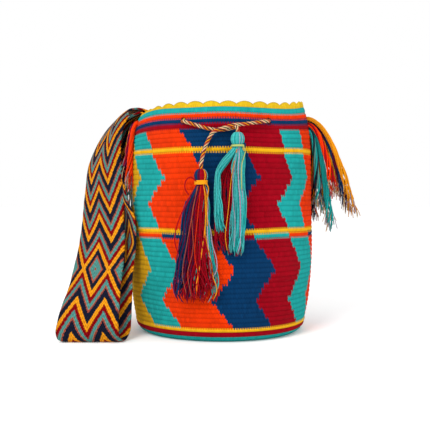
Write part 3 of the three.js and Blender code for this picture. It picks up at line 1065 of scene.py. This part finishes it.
def build_drawstring():
    line, length = evenly(centripetal(drawstring_points(), 6000), CORD_STEPS)
    across, other = moving_frames(line[None])
    at = np.linspace(0, length, len(line))
    yarns = Yarns()
    for k, color in enumerate(CORD_PLIES):
        turn = 2 * np.pi * (at / PLY_PITCH + k / len(CORD_PLIES))
        out = (CORD_R - PLY_R) * (np.cos(turn)[:, None] * across[0] + np.sin(turn)[:, None] * other[0])
        yarns.add((line + out)[None], PLY_R, [linear(color)])
    cord = yarn_material("cord_yarn", 3, 3.4)
    yarns.build("twisted_drawstring", cord, "bag", ["drawstring"])
    return length


# ---- tassels ----
STRAND_R = 0.66
STRANDS = 190
TIE_YARN_R = 0.85
TIE_PITCH = 1.5
DOWN = np.array([0.09, 0.2, 0.35, 0.5, 0.65, 0.8, 0.92, 1.0])  # shares of the skirt's drop
FRONT = 0.25  # strands less far back than this share show in front
# Flare: share of the way down and half width there. Parting: where across the front, and how wide.
LEFT_SKIRT = {
    "length": 148,
    "flare": [(0.09, 9.6), (0.2, 14.5), (0.5, 17), (0.75, 21), (0.93, 24.5), (1, 22)],
    "flatness": 0.34,
    "lean": -6,
    "parting": None,
}
RIGHT_SKIRT = {
    "length": 136,
    "flare": [(0.09, 10), (0.24, 16.5), (0.5, 18), (0.75, 17), (0.93, 15.5), (1, 14)],
    "flatness": 0.36,
    "lean": -9,
    "parting": (-0.22, 0.52),
}
# For strands up to this far right: colours of those in front, and of those behind.
LEFT_BANDS = [
    (-0.55, [NAVY, NAVY, PLUM], [NAVY, PLUM]),
    (-0.2, [NAVY, PLUM, NAVY, PLUM], [ORANGE, PLUM, DARK_RED]),
    (0.56, [DARK_RED], [DARK_RED, ORANGE]),
    (0.7, [TURQUOISE, DARK_RED, TURQUOISE, AMBER, TURQUOISE], [DARK_RED]),
    (1.0, [TURQUOISE, PALE_TURQUOISE, DARK_RED, TURQUOISE, PALE_TURQUOISE, LILAC], [DARK_RED, TURQUOISE]),
]
RIGHT_BANDS = [
    (-0.2, [PALE_TURQUOISE] * 3 + [TURQUOISE], [DARK_RED]),
    (0.35, [PALE_TURQUOISE] * 4 + [TURQUOISE, LILAC], [DARK_RED]),
    (1.0, [PALE_TURQUOISE] * 3 + [TURQUOISE] * 2 + [LILAC], [DARK_RED, TURQUOISE]),
]
# Loose strands: radius, colour, points from the middle of the head.
LEFT_LOOSE = [
    (0.7, DARK_RED, [(-5, -5, -7), (-12, -6, -2), (-17, -7, -6), (-18, -7, -15), (-14, -7, -22)]),
    (0.7, DARK_RED, [(-12, -7, -24), (-24, -8, -48), (-30, -8, -72), (-26, -8, -90)]),
    (
        0.45,
        SALMON,
        [(-4, -6.6, -12), (-9, -7.8, -40), (-16, -8.4, -78), (-21, -9.4, -112), (-17, -9.6, -134)],
    ),
    (0.4, SALMON, [(-3, -6.6, -12), (-10, -7.8, -44), (-9, -8.6, -84), (-15, -9.8, -112), (-11, -9.8, -138)]),
    (0.4, ORANGE, [(0, -6.8, -12), (-4, -7.8, -50), (-7, -8.8, -90), (-3, -9.8, -118), (-6, -9.8, -140)]),
]
RIGHT_LOOSE = [
    (0.45, LILAC, [(0, -6.8, -12), (-4, -8, -34), (-6, -8, -62), (-3, -8, -96), (-4, -7.6, -124)]),
    (0.45, AMBER, [(-1, -6.4, -12), (-7, -6.6, -44), (-11, -5.6, -84), (-14, -5, -112), (-12, -5, -128)]),
]


def strand_places():
    """Where each strand hangs in the tassel, evenly over a disk: how far right and how far back."""
    number = np.arange(STRANDS)
    turn = 2 * np.pi * number * 0.618
    full = np.sqrt((number + 0.5) / STRANDS)
    return np.cos(turn) * full, np.sin(turn) * full


def strand_colors(rights, backs, bands):
    picked = []
    for right, back in zip(rights, backs):
        _, ahead, behind = next(b for b in bands if right <= b[0])
        options = ahead if back < FRONT else behind
        picked.append(linear(options[rng.integers(len(options))], 0.9 + 0.26 * rng.random()))
    return picked


def strand_drops(rights, backs, length, parting):
    """How far each strand hangs. Left of a parting the front ones are shorter."""
    drops = length * (0.8 + 0.2 * np.sqrt(rng.random(STRANDS)))
    drops = np.where(backs > 0.1, drops, drops * 0.97)
    if parting:
        drops = np.where((backs < FRONT) & (rights < parting[0]), drops * 0.82, drops)
    return drops


def head_points(right, back):
    """A strand from the cord's end over the head and in to the neck."""
    full = math.hypot(right, back)
    x, y = np.array([right, back]) / full
    head = HEAD_R * (0.6 + 0.4 * full) - STRAND_R
    return [
        (0.9 * x, 0.9 * y, HEAD_R * 0.9),
        (head * 0.66 * x, head * 0.66 * y, HEAD_R * 0.72),
        (head * x, head * y, 0.6),
        (head * 0.9 * x, head * 0.9 * y, -4.2),
        (NECK_R * 0.8 * right, NECK_R * 0.8 * back, -HEAD_R),
    ]


def moved_aside(right, place, gap):
    """How far a front strand moves to its side of a parting, where the strands crowd into a lobe."""
    edge = 1.0 if right > place else -1.0
    lobe = edge + (right - edge) * (1 - gap / abs(edge - place))
    return lobe - right


def tassel_paths(rights, backs, length, flare, flatness, lean, parting):
    """Strands folded over the cord's end, gathered at the neck and hanging as a skirt."""
    drops = strand_drops(rights, backs, length, parting)
    half = np.interp(DOWN, *zip(*flare)) - STRAND_R
    flat = 1 + (flatness - 1) * smooth(DOWN, 0, 0.25)
    aside = lean * smooth(DOWN, 0, 0.35)
    paths = []
    for right, back, drop in zip(rights, backs, drops):
        stray = np.cumsum(rng.normal(0, 0.1, len(DOWN))) * (0.4 + DOWN)
        if parting and back < FRONT:
            stray = 0.55 * stray + moved_aside(right, *parting) * smooth(DOWN, 0.1, 0.36)
        x = np.clip(right + stray, -1.08, 1.08) * half + aside
        y = back * half * flat + 0.8 * stray
        z = -HEAD_R - (drop - HEAD_R) * DOWN
        paths.append(centripetal(head_points(right, back) + list(zip(x, y, z)), 40))
    return np.array(paths)


def build_tassel(side, head, skirt, bands, loose, tie_color, windings, yarn):
    rights, backs = strand_places()
    paths = tassel_paths(rights, backs, **skirt) + head
    wave = np.linspace(0, 1, paths.shape[1]) ** 1.5
    phase = rng.random((STRANDS, 1)) * 2 * np.pi
    paths[:, :, 0] += 0.9 * wave * np.sin(wave * 13 + phase)
    paths[:, :, 1] += 0.4 * wave * np.sin(wave * 9 + phase * 2)
    taper = np.ones(paths.shape[1])
    taper[-2:] = (0.8, 0.35)
    yarns = Yarns()
    yarns.add(paths, STRAND_R * taper, strand_colors(rights, backs, bands), sides=5)
    for radius, color, points in loose:
        yarns.add((centripetal(points, 60) + head)[None], radius, [linear(color)])
    body = f"tassel_{side}"
    yarns.build(f"tassel_{side}_strands", yarn, body, [f"tassel_{side}_yarn"])
    tie = Yarns()
    tie.add((tie_coil(windings) + head)[None], TIE_YARN_R, [linear(tie_color)])
    tie.add((tie_tail(skirt["lean"]) + head)[None], 0.6, [linear(tie_color, 0.9)])
    tie.build(f"tassel_{side}_winding", yarn, body, [f"tassel_{side}_tie"])


def tie_coil(windings):
    """The yarn wound round the neck."""
    at = np.linspace(0, 1, 30 * windings)
    turn = 2 * np.pi * windings * at
    radius = NECK_R + 0.5 + TIE_YARN_R
    rise = (windings - 1) * TIE_PITCH
    return np.stack([radius * np.cos(turn), radius * np.sin(turn), -HEAD_R + rise * (at - 0.5)], axis=1)


def tie_tail(lean):
    """The tie's loose end, which hangs along the skirt."""
    upper = [(5.6, -4.6, -8.6), (8.4, -5.6, -14)]
    lower = [(11 + lean * 0.7, -6.8, -30), (13 + lean * 0.95, -7.6, -58)]
    return centripetal(upper + lower, 26)


# ---- fringe ----
# Degrees round the bag, height of the root, reach out, drop, drift sideways, colours, slot.
RIGHT_FRINGE = [
    (84.5, 271, 60, 118, -6, [OCHRE_AMBER], "amber_yarn"),
    (84.5, 263.5, 34, 88, -2, [ORANGE, ORANGE, DARK_RED], "orange_yarn"),
    (84.5, 256, 13, 96, 0, [GREY_TEAL, BLACK_NAVY, TURQUOISE], "turquoise_yarn"),
    (88.2, 271, 54, 118, -3, [NAVY, NAVY, PLUM], "navy_yarn"),
    (88.2, 263.5, 31, 134, 2, [TURQUOISE, TURQUOISE], "turquoise_yarn"),
    (88.2, 256, 9, 108, 3, [OCHRE_AMBER, BLACK_NAVY, SALMON], "amber_yarn"),
    (91.9, 271, 45, 100, 3, [OCHRE_AMBER, AMBER], "amber_yarn"),
    (91.9, 263.5, 25, 114, 6, [OCHRE_AMBER, LILAC], "amber_yarn"),
    (91.9, 256, 8, 112, 8, [NAVY, BLACK_NAVY], "navy_yarn"),
    (95.6, 271, 53, 92, 8, [DARK_RED, PLUM], "dark_red_yarn"),
    (95.6, 263.5, 33, 96, 10, [NAVY, LILAC], "navy_yarn"),
    (95.6, 256, 17, 76, 12, [TURQUOISE, TURQUOISE], "turquoise_yarn"),
]
LEFT_FRINGE = [
    (-74.8, 265, 11.5, 82, 0, [ORANGE, ORANGE], "orange_yarn"),
    (-77.6, 249, 5.5, 81, 0, [TURQUOISE, GREY_TEAL], "turquoise_yarn"),
    (-80.4, 265, 12.5, 66, 0, [DARK_RED, PLUM], "dark_red_yarn"),
    (-83.2, 252, 6.5, 76, 0, [NAVY, BLACK_NAVY], "navy_yarn"),
    (-86, 265, 11.5, 52, 0, [AMBER, SALMON], "amber_yarn"),
    (-88.8, 252, 6.5, 60, 0, [TURQUOISE, GREY_TEAL], "turquoise_yarn"),
]
FRINGE_YARNS = 6
FRINGE_STEPS = 30
FRAYED = 6  # loose fibres at each yarn's end
FRAY_LENGTH = {"right": 8, "left": 15}
ROOT_SUNK = 1.5


def fringe_line(degrees, z, reach, drop, drift):
    """A bundle's middle line: out of the wall, then down."""
    root = around(degrees, 112.5 - (z - 252) * 0.2 - ROOT_SUNK, z)
    outward = around(degrees, 1, 0)
    sideways = around(degrees + 90, 1, 0)
    end = root + outward * (reach + 2) + sideways * drift
    end[2] -= drop
    early = root + outward * min(6 + reach * 0.3, reach * 0.9)
    early[2] += reach * 0.05
    late = end - outward * reach * 0.3
    late[2] += drop * 0.62
    t = np.linspace(0, 1, 80)[:, None]
    line = (1 - t) ** 3 * root + 3 * (1 - t) ** 2 * t * early + 3 * (1 - t) * t**2 * late + t**3 * end
    return evenly(line, FRINGE_STEPS)[0]


def fray(path, length):
    """Loose fibres that hang from the end of a yarn."""
    fibres = []
    for _ in range(FRAYED):
        spread = rng.normal(0, 1, 3) * (2.2, 2.2, 1.2)
        start, end = path[-5], path[-1]
        hanging = unit(end - start) * (0.3, 0.3, 1) - (0, 0, 0.5)
        tip = end + hanging * length * (0.25 + 0.75 * rng.random()) + spread
        fibres.append(centripetal([start, path[-3] + spread * 0.2, (end + tip) / 2 + spread * 0.3, tip], 9))
    return fibres


def build_fringe(side, number, row, yarn):
    """One bundle: yarns wound loosely round its middle line, each with a frayed end."""
    *route, colors, slot = row
    line = fringe_line(*route)
    across, other = moving_frames(line[None])
    at = np.linspace(0, 1, FRINGE_STEPS)
    yarns = Yarns()
    for k in range(FRINGE_YARNS):
        turn = 2 * np.pi * (k / FRINGE_YARNS + 1.3 * at) + rng.random() * 0.5
        loose = 1.7 + (1.5 + 2.5 * rng.random()) * at**2
        out = loose[:, None] * (np.cos(turn)[:, None] * across[0] + np.sin(turn)[:, None] * other[0])
        path = (line + out)[: round(FRINGE_STEPS * (0.8 + 0.2 * rng.random()))]
        color = linear(colors[k % len(colors)], 1 + 0.1 * (rng.random() - 0.5))
        taper = np.ones(len(path))
        taper[-2:] = (0.9, 0.55)
        yarns.add(path[None], 1.25 * taper, [color])
        fibres = fray(path, FRAY_LENGTH[side])
        tints = [color, color, linear(LILAC), linear(CREAM, 0.9)]
        yarns.add(fibres, 0.4, [tints[rng.integers(4)] for _ in range(FRAYED)], sides=4)
    name = f"fringe_{side}_{number:02d}"
    return yarns.build(f"{name}_yarns", yarn, "bag", [name])


# ---- the whole bag ----
look()
cord_length = build_drawstring()
studio()
body = build_body()
strap, strap_length = build_strap()
yarn = yarn_material("loose_yarn", 3, 4.2)
goes_along = [
    build_seam("left", -107, 92.2, 264, yarn),
    build_seam("right", 90, 92, 274, yarn),
]
goes_along += [build_fringe("right", i + 1, row, yarn) for i, row in enumerate(RIGHT_FRINGE)]
goes_along += [build_fringe("left", i + 1, row, yarn) for i, row in enumerate(LEFT_FRINGE)]
build_tassel("left", LEFT_HEAD, LEFT_SKIRT, LEFT_BANDS, LEFT_LOOSE, AMBER, 4, yarn)
build_tassel("right", RIGHT_HEAD, RIGHT_SKIRT, RIGHT_BANDS, RIGHT_LOOSE, PALE_LIME, 2, yarn)
print("cord", round(cord_length), "strap", round(strap_length))
